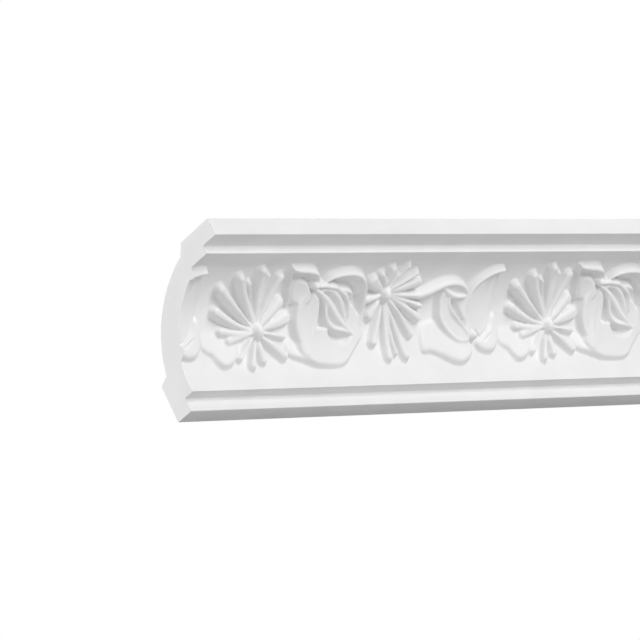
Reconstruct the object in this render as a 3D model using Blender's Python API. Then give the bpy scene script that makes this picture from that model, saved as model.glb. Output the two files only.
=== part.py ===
"""Cornice moulding length: a coved ceiling moulding cast with daisies and leaves in relief.

The piece is drawn as it is fixed: the wall is the plane Y = 0 behind it, the ceiling lies on its top
face and the room is on the -Y side. X runs along the length. The origin is the middle of the face
that bears on the wall. All sizes are in metres except where a name or a comment says millimetres.
"""
import math

import bpy
import bmesh
import numpy as np
from mathutils import Vector
from mathutils.geometry import delaunay_2d_cdt

NODE = "cornice_moulding"

# Overall sizes
LENGTH = 0.504              # two whole repeats of the carving
HEIGHT = 0.082              # down the wall
PROJECTION = 0.082          # out along the ceiling
REPEAT = 0.252              # length of one repeat of the carving

# Front profile, from the ceiling down to the cove
TOP_LIP = 0.0108            # height of the outer lip
TOP_LEDGE = 0.0115          # first step back under the outer lip
SECOND_LIP = 0.0050         # height of the small second step
SECOND_LEDGE = 0.0130       # ledge between that step and the cove
COVE_RADIUS = 0.055

# Front profile, from the cove down to the bottom edge
BOTTOM_LEDGE = 0.0070
BOTTOM_LIP = 0.0120         # how far the bottom lip stands off the wall
BOTTOM_BAND = 0.0085        # height of the bottom lip

# Back of the piece
WALL_PAD = 0.02355          # height of the flat face on the wall
CEILING_PAD = 0.0247        # width of the flat face on the ceiling
CASTING_THICKNESS = 0.013   # between the cove and the hollow back
BACK_FOOT_OUT = 0.0065      # from the wall to the start of the back curve
BACK_FOOT_UP = 0.00275      # rise of the slanted edge above the wall pad
BACK_HEAD_IN = 0.0050       # from the ceiling pad's edge in to the end of the back curve
BACK_HEAD_DOWN = 0.0064     # depth of the slanted edge below the ceiling
BACK_STEPS = 12             # facets of the back curve

# The carving is drawn flat, in millimetres, on one repeat of the cove rolled out.
# u runs along the length and s down the cove from its top corner, negative on the ledge above.
DRAWING_LENGTH = 252.0
DRAWING_GIRTH = 75.0
RELIEF = 0.001              # metres of relief for each millimetre of height in the drawing
CARVING_LAP = 0.006         # strip of the ledge above the cove that the petal heads run onto

# Petals of the daisies, in millimetres of the drawing
PETAL_ROOT_AWAY = 3.0       # from the middle of the boss to a petal's root
PETAL_ROOT_WIDTH = 0.9      # half width at the root
PETAL_ROOT_HEIGHT = 3.4
PETAL_WAIST = 0.72          # half width halfway along, as a share of the tip's
PETAL_FULLNESS = 2.3        # 2 is a round section and more is flatter on top
PETAL_DISH = 0.05           # hollow of the crest for each millimetre of half width
BOSS = (3.7, 5.9, 7.5)      # half width, half length and height

# Fineness of the faceted surface
GRID = 0.0008               # spacing of the points that the carving is read at
SOFTENING = 0.45            # millimetres over which the cast edges are softened
FACET_BUDGET = 9000         # triangles left in the whole cove
CURVE_STEPS = 6             # short lines between two points of a drawn curve
END_MARGIN_CELLS = 3        # grid cells that are made beyond each end and cut off
SHARP_ANGLE = math.radians(38)
FILL_INSIDE = 1             # the triangulation keeps only what lies inside the outline
FILL_EPSILON = 1e-9


def smooth_curve(points, closed=False):
    """Points along a smooth line through the given rows, which may carry widths and heights too."""
    rows = np.asarray(points, float)
    if closed:
        rows = np.vstack([rows[-1:], rows, rows[:2]])
    else:
        rows = np.vstack([2 * rows[0] - rows[1], rows, 2 * rows[-1] - rows[-2]])
    t = (np.arange(CURVE_STEPS) / CURVE_STEPS)[:, None]
    pieces = []
    for a, b, c, d in zip(rows, rows[1:], rows[2:], rows[3:]):
        bend = (2 * a - 5 * b + 4 * c - d) * t ** 2 + (3 * b - a - 3 * c + d) * t ** 3
        pieces.append(0.5 * (2 * b + (c - a) * t + bend))
    if not closed:
        pieces.append(rows[-2:-1])
    return np.vstack(pieces)


def nearest_on_line(u, s, start, end):
    """Share along the straight line from start to end, and the offset from it, for each point."""
    run = end[:2] - start[:2]
    share = ((u - start[0]) * run[0] + (s - start[1]) * run[1]) / max(run @ run, 1e-9)
    share = np.clip(share, 0, 1)
    return share, u - start[0] - run[0] * share, s - start[1] - run[1] * share


class Relief:
    """Heights of one repeat of the carving, in millimetres, on a grid over its flat drawing."""

    def __init__(self, columns, s):
        self.u = np.arange(columns) * DRAWING_LENGTH / columns
        self.s = s
        self.height = np.zeros((len(s), columns))

    def windows(self, low, high):
        """The stretches of the grid between two corners, with the repeats to the left and right."""
        for shift in (-DRAWING_LENGTH, 0, DRAWING_LENGTH):
            first, last = np.searchsorted(self.u, [low[0] + shift, high[0] + shift])
            top, bottom = np.searchsorted(self.s, [low[1], high[1]])
            if last > first and bottom > top:
                u, s = np.meshgrid(self.u[first:last] - shift, self.s[top:bottom])
                yield (slice(top, bottom), slice(first, last)), u, s

    def raise_to(self, window, height, inside, blend):
        """Lift the surface to a form where the form is higher, with a small fillet between them."""
        here = self.height[window]
        share = np.clip(0.5 + 0.5 * (height - here) / blend, 0, 1)
        fillet = blend * share * (1 - share) * np.clip(2 * height, 0, 1)
        self.height[window] = np.where(inside, here * (1 - share) + height * share + fillet, here)

    def across(self, rows, u, s):
        """Distance over half width, and height, from a smooth line of (u, s, half width, height)."""
        nearest = np.full(u.shape, np.inf)
        height = np.zeros(u.shape)
        line = smooth_curve(rows)
        for start, end in zip(line, line[1:]):
            share, du, ds = nearest_on_line(u, s, start, end)
            width = np.maximum(start[2] + (end[2] - start[2]) * share, 0.1)
            distance = np.hypot(du, ds) / width
            closer = distance < nearest
            nearest[closer] = distance[closer]
            height[closer] = (start[3] + (end[3] - start[3]) * share)[closer]
        return nearest, height

    def line_windows(self, rows):
        rows = np.asarray(rows, float)
        reach = rows[:, 2].max() + 1
        return self.windows(rows[:, :2].min(axis=0) - reach, rows[:, :2].max(axis=0) + reach)

    def rib(self, *rows, fullness=2.0, dish=0.0, blend=0.2):
        """A raised rib along rows of (u, s, half width, height); dish hollows its crest."""
        for window, u, s in self.line_windows(rows):
            distance, height = self.across(rows, u, s)
            inside = distance < 1
            distance = np.minimum(distance, 1)
            dome = np.sqrt(1 - distance ** fullness) * (1 - dish * (1 - distance ** 2))
            self.raise_to(window, height * dome, inside, blend)

    def furrow(self, *rows):
        """A rounded hollow along rows of (u, s, half width, depth)."""
        for window, u, s in self.line_windows(rows):
            distance, depth = self.across(rows, u, s)
            cut = depth * (1 - np.minimum(distance, 1) ** 2)
            self.height[window] = np.maximum(self.height[window] - cut, 0)

    def knob(self, u, s, width, length, height):
        """A domed oval boss, with its half width along the piece and its half length down the cove."""
        for window, uu, ss in self.windows((u - width, s - length), (u + width, s + length)):
            distance = np.hypot((uu - u) / width, (ss - s) / length)
            inside = distance < 1
            self.raise_to(window, height * np.sqrt(1 - np.minimum(distance, 1) ** 2), inside, 0.2)

    def leaf(self, *outline, height, slope=(0, 0), edge=2.0, blend=0.3):
        """A raised leaf inside a smooth closed outline, rounded over its edge.

        slope is the rise for each millimetre along u and s.
        """
        ring = smooth_curve(outline, closed=True)
        middle = np.mean(outline, axis=0)
        for window, u, s in self.windows(ring.min(axis=0) - 1, ring.max(axis=0) + 1):
            rim = np.full(u.shape, np.inf)
            inside = np.zeros(u.shape, bool)
            for start, end in zip(ring, np.roll(ring, -1, axis=0)):
                share, du, ds = nearest_on_line(u, s, start, end)
                rim = np.minimum(rim, np.hypot(du, ds))
                if start[1] != end[1]:
                    crossing = start[0] + (s - start[1]) * (end[0] - start[0]) / (end[1] - start[1])
                    inside ^= ((start[1] > s) != (end[1] > s)) & (u < crossing)
            form = height + slope[0] * (u - middle[0]) + slope[1] * (s - middle[1])
            rounding = np.sqrt(1 - np.clip(1 - rim / edge, 0, 1) ** 2)
            self.raise_to(window, form * rounding, inside, blend)

    def soften(self, distance):
        """Blur the heights a little, as a cast surface is, without lifting the two long edges."""
        spacing = DRAWING_LENGTH / len(self.u)
        reach = int(math.ceil(3 * distance / spacing))
        steps = np.arange(-reach, reach + 1)
        weights = np.exp(-0.5 * (steps * spacing / distance) ** 2)
        weights /= weights.sum()
        along = sum(w * np.roll(self.height, k, axis=1) for w, k in zip(weights, steps))
        padded = np.pad(along, ((reach, reach), (0, 0)), mode="edge")
        rows = len(self.s)
        down = sum(w * padded[reach + k:reach + k + rows] for w, k in zip(weights, steps))
        self.height = down
        self.height[0] = 0
        self.height[-1] = 0


def daisy(relief, centre, petals):
    """A daisy: petals from the boss to round tips given as (u, s, half width, height, bend)."""
    middle = np.array(centre)
    for u, s, width, height, bend in petals:
        run = np.array([u, s]) - middle
        away = run / np.hypot(*run)
        side = np.array([-away[1], away[0]])
        root = middle + PETAL_ROOT_AWAY * away
        waist = middle + run / 2 + bend * side
        relief.rib((*root, PETAL_ROOT_WIDTH, PETAL_ROOT_HEIGHT), (*waist, PETAL_WAIST * width, height),
                   (u, s, width, height), fullness=PETAL_FULLNESS, dish=PETAL_DISH * width)
    relief.knob(*centre, *BOSS)


def first_daisy(relief):
    left = [(28, 14.6, 3.5, 6, 0), (27.6, 28.3, 3.4, 5.6, -1.8), (33.2, 40, 3, 4.6, -1.2),
            (38.8, 45.4, 3, 4.4, 0)]
    upper = [(40.8, 7.4, 3.4, 6, 0), (49.4, 10.4, 1.5, 5.2, 0), (56, 2, 3.1, 5.6, 0),
             (61.3, 4.6, 1.9, 5.4, 0), (72.8, 7.2, 3.6, 5.4, 0)]
    right = [(78, 23.2, 4.2, 5.6, 0), (85, 32.8, 4.6, 5.4, 0), (84, 43.6, 2, 4.2, 0),
             (81.6, 54.8, 3.6, 5.5, 0)]
    lower = [(63.8, 57.4, 3.2, 5, 0), (54.3, 61, 2.7, 4.6, 0), (45.5, 56.2, 2.1, 4.6, 0)]
    daisy(relief, (61.5, 40.6), left + upper + right + lower)


def second_daisy(relief):
    left = [(151.7, 9, 4.5, 5.8, 0), (151.6, 22.4, 3.3, 5.5, 0), (156.6, 32.6, 3.6, 4.8, 0),
            (158.4, 49, 3.1, 5.5, -1)]
    lower = [(169.6, 57, 3.2, 4.8, -1.3), (175.6, 55.4, 1.9, 4.4, -1.2), (183.7, 56.4, 3.3, 5, -1.7)]
    right = [(190.2, 44, 3.2, 5, -1.6), (196.2, 34.2, 3, 5, -0.6), (195, 24.6, 1.9, 4.8, 0),
             (196.1, 20, 2.7, 5.3, 0), (189.9, 10.2, 4.2, 5.3, 0)]
    upper = [(186.4, 3, 2.2, 4.8, 0), (179.2, -2.1, 1.8, 4.2, 0), (171.4, 3.6, 1.6, 4.8, 0),
             (165, 1.2, 3, 5.6, 0), (157, 3.8, 2.6, 5.5, 1.2)]
    daisy(relief, (165.4, 19.2), left + lower + right + upper)


def low_leaf(relief):
    """The two-lobed leaf to the lower left of the first daisy."""
    relief.leaf((14.5, 41), (16.5, 47), (19.5, 51.5), (24.5, 54.2), (26.8, 57.6), (29.2, 60.8),
                (32.5, 61.9), (36, 61.3), (40, 59.3), (43, 56.4), (48, 51.1), (47, 41), (30, 38.5),
                height=2.6, slope=(0, 0.21), edge=3.4)


def bell_flower(relief):
    """The flower seen from the side between the daisies: bud, cup, turned petal and stamens."""
    relief.leaf((94, 53), (100.1, 58.9), (104.1, 61), (109, 62.3), (119, 62.8), (128, 62.3),
                (134.5, 59.5), (141.2, 53.5), (146.4, 48.8), (151, 43.6), (149, 37), (145, 38),
                (135.4, 46.9), (126.4, 46.9), (121, 43.5), (119, 38.8), (111, 38.2), (101, 38.4),
                (95, 44), height=4, slope=(-0.02, -0.06), edge=2)
    relief.leaf((130, 27), (138, 24), (145, 29), (148.5, 38), (143.5, 44.5), (135, 42), height=2.8,
                edge=2)
    relief.leaf((85.3, 51.5), (87.2, 55.4), (95.6, 58.2), (103, 59.7), (103.2, 53.3), (97.4, 45.9),
                (88, 44), height=3, slope=(0, 0.3), edge=3)
    relief.leaf((94.5, 16.5), (91.2, 24), (90.4, 31), (90.8, 38), (92.6, 45), (96, 51.5), (99.8, 59.7),
                (102.4, 56.5), (106, 48), (109.8, 39.6), (111.4, 31.4), (111, 22.4), (106, 17), (100, 15),
                height=5.4, slope=(-0.02, 0), edge=2.2)
    relief.furrow((98.5, 24.4, 1.6, 0.2), (98.4, 38.6, 1.8, 0.45), (100.5, 53.3, 1.2, 0.2))
    relief.furrow((105.5, 24.4, 1.6, 0.2), (105.2, 36.5, 1.8, 0.45), (102.8, 51.1, 1.2, 0.2))
    relief.leaf((80, 3.1), (100.5, 3.1), (105, 9.7), (106, 17.5), (100, 20), (92, 22), (87, 22.4),
                (83.2, 14.5), height=1.2, edge=1)
    relief.leaf((86, 9.4), (91.5, 7.8), (95.2, 9), (98.2, 12.2), (100.6, 16), (101.8, 20.4), (99, 24),
                (93, 24.6), (88, 23), (85.8, 16), height=4.8, slope=(0.24, 0), edge=2)
    relief.rib((79.2, -1, 1, 4.2), (80.3, 3, 1, 4.5), (81.8, 9, 1.1, 4.6), (83.2, 15, 1.1, 4.6),
               (84.6, 20, 1.1, 4.6), (86.6, 23.6, 1.2, 4.4))
    relief.rib((79.4, -0.4, 1.2, 4.4), (82.8, 1, 2.4, 5), (88.5, 1.3, 2.9, 5.4), (95, 1.6, 2.9, 5.8),
               (99.2, 3, 2.6, 6), (101.8, 6, 2.3, 6.2), (103, 9.4, 2.2, 6.4))
    relief.rib((112.4, 9.2, 1.4, 4.8), (116.5, 5.9, 2, 5.2), (124.5, 3.8, 2.5, 5.6),
               (133.5, 3.9, 2.8, 5.8), (140.8, 7.4, 2.9, 6), (144.8, 13, 2.8, 6), (146.9, 20.4, 2.6, 5.8),
               (147.9, 28.4, 2.4, 5), (147.7, 37, 2.2, 3.6), blend=0.6)
    relief.rib((115.4, 8.6, 1.6, 2), (120.4, 6.7, 2.8, 2.7), (127.5, 5.9, 3.8, 3.2), (134.4, 7, 3.8, 3.4),
               (139.6, 11, 3.2, 3.6), (142.8, 17, 2.6, 3.2), blend=1.8)
    relief.leaf((108, 13.5), (118, 11), (126, 13), (132, 18), (135, 28), (137, 36), (142, 43), (133, 43),
                (124.5, 40.5), (119, 36.5), (115.5, 28), (111, 20.5), height=3.1, edge=1.4)
    relief.rib((126, 14.6, 1.6, 4.8), (131.5, 15.4, 2, 5.1), (135.4, 17.2, 2, 5), (137, 20.4, 1.6, 4.6))
    relief.rib((105.6, 12.1, 2, 5.8), (111.4, 12, 2.3, 5.8), (115.7, 12.5, 2.4, 5.8), (120, 13, 2.4, 5.8),
               (123.9, 14.8, 2.3, 5.6), (127.8, 17, 2.2, 5.6), (131.3, 19.2, 2.1, 5.5),
               (133.8, 22.4, 2, 5.3), (135.6, 26.8, 1.9, 5), (136.6, 31.5, 1.7, 4.4))
    relief.rib((110, 14.8, 1.7, 5.2), (114.4, 14.6, 2, 5.3), (118.8, 15, 2.3, 5.4),
               (122.8, 17.3, 2.4, 5.5), (126.2, 20, 2.4, 5.5), (128.9, 23.4, 2.4, 5.4),
               (130.8, 27, 2.4, 5.3), (132.2, 30.6, 2.2, 5.1), (134.2, 34.4, 2, 4.8),
               (137.4, 38.4, 1.7, 4.4))
    relief.rib((104.4, 14.6, 2, 5.8), (108.6, 16.8, 2.2, 5.9), (113.6, 19.8, 2.5, 6),
               (118.3, 23.8, 2.9, 6.1), (122.3, 28, 3, 6.2), (126.3, 32.4, 3, 6.1), (129.8, 36, 2.7, 5.9),
               (134.2, 38.8, 2.3, 5.4), (140, 41.6, 1.8, 4.6))
    relief.rib((108.2, 17, 1.6, 5.2), (112.4, 20, 1.8, 5.4), (115.4, 24.6, 2, 5.5), (117.2, 30.4, 2, 5.7),
               (118.6, 34.8, 2.1, 5.8), (121.2, 38, 2.2, 5.9), (125, 39.8, 2.2, 5.9),
               (129.6, 40.6, 2.2, 5.8), (134.4, 41.4, 2, 5.4), (139, 42.2, 1.8, 4.8),
               (143.5, 43.4, 1.4, 3.8))
    relief.knob(101.8, 11, 3.7, 3.8, 8.2)


def turned_leaf(relief):
    """The leaf that folds over to the right of the second daisy."""
    relief.leaf((200.2, 46), (200.7, 54.6), (208.2, 55.4), (215.6, 58.1), (221.6, 61), (226.5, 62.8),
                (232, 63.2), (238.1, 61), (243.2, 56.5), (244.3, 50.1), (233.5, 43.8), (220.6, 36.6),
                (211.6, 35.5), (202.5, 38), height=3.1, slope=(0, 0.19), edge=3.4)
    relief.leaf((213.2, 17.4), (213, 27.4), (213.7, 33.4), (216.6, 39.1), (221, 43.6), (225.9, 47.8),
                (230.8, 50.7), (237.8, 51.1), (241.9, 49), (241, 44.8), (237.6, 41), (232.7, 36.5),
                (227.8, 32.7), (223.8, 29.4), (221.8, 25.4), (220.9, 17.4), height=4.2, edge=1.6)
    relief.rib((214.9, 24.4, 1.5, 4.8), (215.7, 33.4, 1.8, 5), (220.3, 40.3, 2, 5.3),
               (226.4, 45.9, 2, 5.4), (232.4, 49, 1.8, 5.2), (239.4, 49, 1.6, 5), blend=1)
    relief.rib((221.1, 20.4, 1.5, 5.4), (221.9, 25.7, 1.8, 5.7), (224.5, 30, 2, 5.9),
               (228.4, 33.4, 2, 5.9), (232.4, 36.5, 2, 5.8), (236.3, 39.8, 1.8, 5.5),
               (240, 44.3, 1.6, 5.2), blend=0.8)
    relief.leaf((226.6, 20.4), (239.6, 19.9), (239.9, 28.4), (239.9, 35.5), (237.7, 35), (233.8, 30.4),
                (230.2, 26.7), height=2.8, edge=1.6)
    relief.rib((197.1, 18.6, 2.8, 5), (202.2, 17.3, 3.7, 5.4), (208.8, 14.4, 3.5, 5.7),
               (214.3, 12, 2.9, 5.8), (221.5, 11.2, 2.6, 5.8), (227.8, 12.2, 2.5, 5.8),
               (233.2, 15.1, 2.3, 5.6), (236.3, 18.4, 1.8, 5.2))
    relief.rib((213.3, 13.6, 2.2, 5.6), (218, 16.6, 2.6, 5.8), (223.5, 18.8, 2.8, 5.8),
               (230.1, 19.6, 2.5, 5.6), (235.4, 19.2, 2, 5.2))


def upright_leaf(relief):
    """The tall dished leaf with a rolled rim, its small lower lobe and the bud at its foot."""
    relief.leaf((239.5, 43.8), (239.9, 25.4), (239.8, 14), (246, 6.5), (254, 3), (262, 2.6),
                (263.5, 10.7), (264.5, 20.4), (264, 30.4), (261, 40.6), (251.4, 46.9), height=2.4,
                slope=(-0.09, 0), edge=1.4)
    relief.rib((243.3, 43.8, 1.2, 4.6), (241.2, 35.5, 1.3, 4.6), (239.9, 25.4, 1.4, 4.6),
               (239.6, 17, 1.5, 4.8), (241.6, 11.2, 1.8, 4.8), (245.6, 7, 2.1, 4.8), (250.4, 4, 2.2, 5),
               (256, 2.2, 2.2, 5), (260.6, 1.8, 2.1, 5), (262, 1.9, 2, 5), blend=1)
    relief.furrow((249.5, 9, 0.9, 0.2), (249.4, 11.5, 1.2, 0.8), (248.4, 15, 0.9, 0.2))
    relief.furrow((258.5, 6.5, 0.9, 0.3), (257.8, 11, 1.3, 1), (256.7, 17.5, 0.9, 0.2))
    relief.leaf((248.2, 48.5), (248.3, 51.7), (249.9, 53.8), (253.2, 55.6), (257.2, 56.3), (261.2, 56),
                (265.2, 53.5), (268.4, 49), (269.6, 42.7), (268.6, 35.5), (265, 31.2), (261.7, 33.4),
                (260.1, 39.6), (253.5, 44.8), height=4.6, slope=(0, 0.04), edge=3.2)
    relief.furrow((248, 42.2, 0.9, 1), (250.3, 45, 1, 1.5), (252.8, 46.7, 1, 1.6), (256.5, 44, 0.9, 1.4),
                  (259.5, 41.7, 0.7, 0.6))
    relief.furrow((253.4, 49, 0.9, 0.8), (256.9, 47.8, 1, 1.4), (261, 44.6, 0.8, 0.8))
    relief.knob(244.7, 45.9, 3.4, 3.4, 6.4)


def carve(columns, downs):
    """Heights in metres over one repeat, at the given ways down the cove and columns along it."""
    relief = Relief(columns, downs * DRAWING_GIRTH / COVE_GIRTH)
    low_leaf(relief)
    bell_flower(relief)
    first_daisy(relief)
    second_daisy(relief)
    turned_leaf(relief)
    upright_leaf(relief)
    relief.soften(SOFTENING)
    return relief.height * RELIEF


def arc_centre(start, end, radius):
    """Centre of the arc of a given radius from start to end, on the room side of the line."""
    start = np.array(start)
    end = np.array(end)
    chord = end - start
    span = np.hypot(*chord)
    across = np.array([-chord[1], chord[0]]) / span
    return (start + end) / 2 + across * math.sqrt(radius ** 2 - span ** 2 / 4)


def arc_angles(centre, start, end):
    """Angles of the start and the end of an arc about its centre, the second one larger."""
    first = math.atan2(start[1] - centre[1], start[0] - centre[0])
    last = math.atan2(end[1] - centre[1], end[0] - centre[0])
    return first, last % (2 * math.pi)


# Corners of the profile as (distance out from the wall, height), with the ceiling at height 0
COVE_TOP = (PROJECTION - TOP_LEDGE - SECOND_LEDGE, -TOP_LIP - SECOND_LIP)
COVE_FOOT = (BOTTOM_LIP + BOTTOM_LEDGE, BOTTOM_BAND - HEIGHT)
COVE_CENTRE = arc_centre(COVE_TOP, COVE_FOOT, COVE_RADIUS)
COVE_START, COVE_END = arc_angles(COVE_CENTRE, COVE_TOP, COVE_FOOT)
COVE_GIRTH = COVE_RADIUS * (COVE_END - COVE_START)


def place(x, out, height):
    """World place of a profile point: the origin is the middle of the face on the wall."""
    return x, -out, height + HEIGHT - WALL_PAD / 2


def cove_place(x, down, relief):
    """World place of a point down metres along the cove and raised off it by relief.

    A negative down is on the ledge above the cove. There the relief turns to stand straight down.
    """
    angle = COVE_START + max(down, 0) / COVE_RADIUS
    out = COVE_CENTRE[0] + COVE_RADIUS * math.cos(angle) - min(down, 0)
    height = COVE_CENTRE[1] + COVE_RADIUS * math.sin(angle)
    lean = angle + (math.pi / 2 - angle) * min(max(-2 * down / CARVING_LAP, 0), 1)
    return place(x, out - relief * math.cos(lean), height - relief * math.sin(lean))


def sheet_rows():
    """Ways down the cove at which the carving is read, from the ledge to the cove's foot."""
    on_ledge = np.linspace(-CARVING_LAP, 0, round(CARVING_LAP / GRID) + 1)
    return np.concatenate([on_ledge[:-1], np.linspace(0, COVE_GIRTH, round(COVE_GIRTH / GRID) + 1)])


def back_profile():
    """Profile points from the ledge round the front, top, back and foot to the cove's foot."""
    first_step = PROJECTION - TOP_LEDGE
    points = [(first_step, COVE_TOP[1]), (first_step, -TOP_LIP), (PROJECTION, -TOP_LIP), (PROJECTION, 0)]
    inner_edge = PROJECTION - CEILING_PAD
    pad_top = WALL_PAD - HEIGHT
    head = (inner_edge - BACK_HEAD_IN, -BACK_HEAD_DOWN)
    foot = (BACK_FOOT_OUT, pad_top + BACK_FOOT_UP)
    points.append((inner_edge, 0))
    radius = COVE_RADIUS + CASTING_THICKNESS
    centre = arc_centre(head, foot, radius)
    start, end = arc_angles(centre, head, foot)
    for angle in np.linspace(start, end, BACK_STEPS + 1):
        points.append((centre[0] + radius * math.cos(angle), centre[1] + radius * math.sin(angle)))
    points += [(0, pad_top), (0, -HEIGHT), (BOTTOM_LIP, -HEIGHT), (BOTTOM_LIP, COVE_FOOT[1])]
    return points


def carved_sheet():
    """A fine sheet of the carved cove, a little longer than the piece, as a mesh."""
    columns = round(REPEAT / GRID)
    downs = sheet_rows()
    rows = len(downs)
    heights = carve(columns, downs)
    spacing = REPEAT / columns
    count = math.ceil(LENGTH / spacing) + 2 * END_MARGIN_CELLS
    places = []
    for column in range(-END_MARGIN_CELLS, count - END_MARGIN_CELLS + 1):
        x = column * spacing - LENGTH / 2
        for row, down in enumerate(downs):
            places.append(cove_place(x, down, heights[row, column % columns]))
    faces = []
    for column in range(count):
        for row in range(rows - 1):
            corner = column * rows + row
            faces.append((corner, corner + 1, corner + rows + 1, corner + rows))
    mesh = bpy.data.meshes.new("carved_sheet")
    mesh.from_pydata(places, [], faces)
    return mesh


def thinned(mesh, triangles):
    """The same surface with about the given number of triangles, most of them where it bends."""
    sheet = bpy.data.objects.new("sheet", mesh)
    bpy.context.scene.collection.objects.link(sheet)
    thin = sheet.modifiers.new("thin", "DECIMATE")
    thin.ratio = triangles / (2 * len(mesh.polygons))
    thin.use_collapse_triangulate = True
    evaluated = sheet.evaluated_get(bpy.context.evaluated_depsgraph_get())
    form = bmesh.new()
    form.from_mesh(evaluated.to_mesh())
    evaluated.to_mesh_clear()
    bpy.data.objects.remove(sheet)
    bpy.data.meshes.remove(mesh)
    return form


def square_ends(form):
    """Cut the sheet square at both ends."""
    for side in (-1, 1):
        bmesh.ops.bisect_plane(form, geom=form.verts[:] + form.edges[:] + form.faces[:], dist=1e-6,
                               plane_co=(side * LENGTH / 2, 0, 0), plane_no=(side, 0, 0), clear_outer=True)


def border_loop(form, start):
    """All border vertices of the sheet in order, from start round to the vertex before it."""
    loop = [start]
    came_from = None
    while True:
        here = loop[-1]
        steps = [edge.other_vert(here) for edge in here.link_edges if edge.is_boundary]
        onward = [v for v in steps if v is not came_from]
        came_from = here
        if onward[0] is start:
            return loop
        loop.append(onward[0])


def border(form):
    """The sheet's border as four lists of vertices: left end, right end, top line and foot line."""
    verts = [v for v in form.verts if v.is_boundary]
    corners = []
    for side, down in ((-1, -CARVING_LAP), (1, -CARVING_LAP), (1, COVE_GIRTH), (-1, COVE_GIRTH)):
        spot = Vector(cove_place(side * LENGTH / 2, down, 0))
        corners.append(min(verts, key=lambda v: (v.co - spot).length))
    loop = border_loop(form, corners[0])
    if loop.index(corners[1]) > loop.index(corners[3]):
        loop = loop[:1] + loop[:0:-1]
    right_top, right_foot, left_foot = [loop.index(corner) for corner in corners[1:]]
    top = loop[:right_top + 1]
    right = loop[right_top:right_foot + 1]
    foot = loop[right_foot:left_foot + 1][::-1]
    left = (loop[left_foot:] + loop[:1])[::-1]
    for line, side in ((left, -1), (right, 1)):
        for v in line:
            v.co.x = side * LENGTH / 2
    top_spot = place(0, COVE_TOP[0] + CARVING_LAP, COVE_TOP[1])
    for line, spot in ((top, top_spot), (foot, place(0, *COVE_FOOT))):
        for v in line:
            v.co.y = spot[1]
            v.co.z = spot[2]
    return left, right, top, foot


def fill_flat(form, loop, flat):
    """Fill a flat loop of vertices with triangles; flat gives a vertex's two places in its plane."""
    points = [Vector(flat(v)) for v in loop]
    filled = delaunay_2d_cdt(points, [], [list(range(len(loop)))], FILL_INSIDE, FILL_EPSILON)
    triangles, sources = filled[2], filled[3]
    for triangle in triangles:
        form.faces.new([loop[sources[corner][0]] for corner in triangle])


def close_body(form):
    """Add the flat faces, the back and the two ends, so that the sheet becomes one closed body."""
    left, right, top, foot = border(form)
    profile = back_profile()
    rim_left = [form.verts.new(place(-LENGTH / 2, *point)) for point in profile]
    rim_right = [form.verts.new(place(LENGTH / 2, *point)) for point in profile]
    fill_flat(form, top + [rim_right[0], rim_left[0]], lambda v: (v.co.x, v.co.y))
    fill_flat(form, foot + [rim_right[-1], rim_left[-1]], lambda v: (v.co.x, v.co.y))
    for a, b, c, d in zip(rim_left, rim_left[1:], rim_right[1:], rim_right):
        form.faces.new((a, b, c, d))
    fill_flat(form, left + rim_left[::-1], lambda v: (v.co.y, v.co.z))
    fill_flat(form, right + rim_right[::-1], lambda v: (v.co.y, v.co.z))
    bmesh.ops.recalc_face_normals(form, faces=form.faces)


def cast_white():
    """Primed white polyurethane."""
    material = bpy.data.materials.new("cast_white")
    material.use_nodes = True
    shader = material.node_tree.nodes["Principled BSDF"]
    shader.inputs["Base Color"].default_value = (0.86, 0.86, 0.85, 1)
    shader.inputs["Roughness"].default_value = 0.6
    shader.inputs["Metallic"].default_value = 0
    return material


def cornice_moulding():
    form = thinned(carved_sheet(), FACET_BUDGET)
    square_ends(form)
    close_body(form)
    mesh = bpy.data.meshes.new(NODE)
    form.to_mesh(mesh)
    form.free()
    mesh.shade_smooth()
    mesh.set_sharp_from_angle(angle=SHARP_ANGLE)
    mesh.materials.append(cast_white())
    piece = bpy.data.objects.new(NODE, mesh)
    bpy.context.scene.collection.objects.link(piece)
    return piece


for old in list(bpy.data.objects):
    bpy.data.objects.remove(old, do_unlink=True)
cornice_moulding()
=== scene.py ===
"""Looks of the cornice moulding: the cast relief at full detail, its primed finish, light and camera."""
import math

import bpy
import bmesh
import numpy as np
from mathutils import Matrix, Vector
from mathutils.geometry import delaunay_2d_cdt


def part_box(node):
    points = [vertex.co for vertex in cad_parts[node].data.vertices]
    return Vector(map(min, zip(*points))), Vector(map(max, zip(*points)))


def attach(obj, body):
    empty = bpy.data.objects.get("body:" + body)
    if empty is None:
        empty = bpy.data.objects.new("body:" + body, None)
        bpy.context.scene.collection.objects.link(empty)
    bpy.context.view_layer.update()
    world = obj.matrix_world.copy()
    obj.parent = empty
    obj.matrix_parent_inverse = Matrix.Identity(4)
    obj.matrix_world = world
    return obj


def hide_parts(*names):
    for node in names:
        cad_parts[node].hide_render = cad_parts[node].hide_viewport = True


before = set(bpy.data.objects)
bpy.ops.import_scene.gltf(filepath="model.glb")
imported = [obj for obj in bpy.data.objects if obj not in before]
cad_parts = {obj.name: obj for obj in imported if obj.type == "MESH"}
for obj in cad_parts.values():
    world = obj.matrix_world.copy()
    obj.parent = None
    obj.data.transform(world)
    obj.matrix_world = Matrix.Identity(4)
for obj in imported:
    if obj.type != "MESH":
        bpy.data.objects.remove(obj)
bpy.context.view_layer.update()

NODE = "cornice_moulding"
PIECE = "cast_moulding"
LOW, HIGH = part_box(NODE)

# Overall sizes in metres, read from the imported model
LENGTH = HIGH[0] - LOW[0]
PROJECTION = HIGH[1] - LOW[1]
HEIGHT = HIGH[2] - LOW[2]
REPEAT = LENGTH / 2         # two whole repeats of the carving

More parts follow.
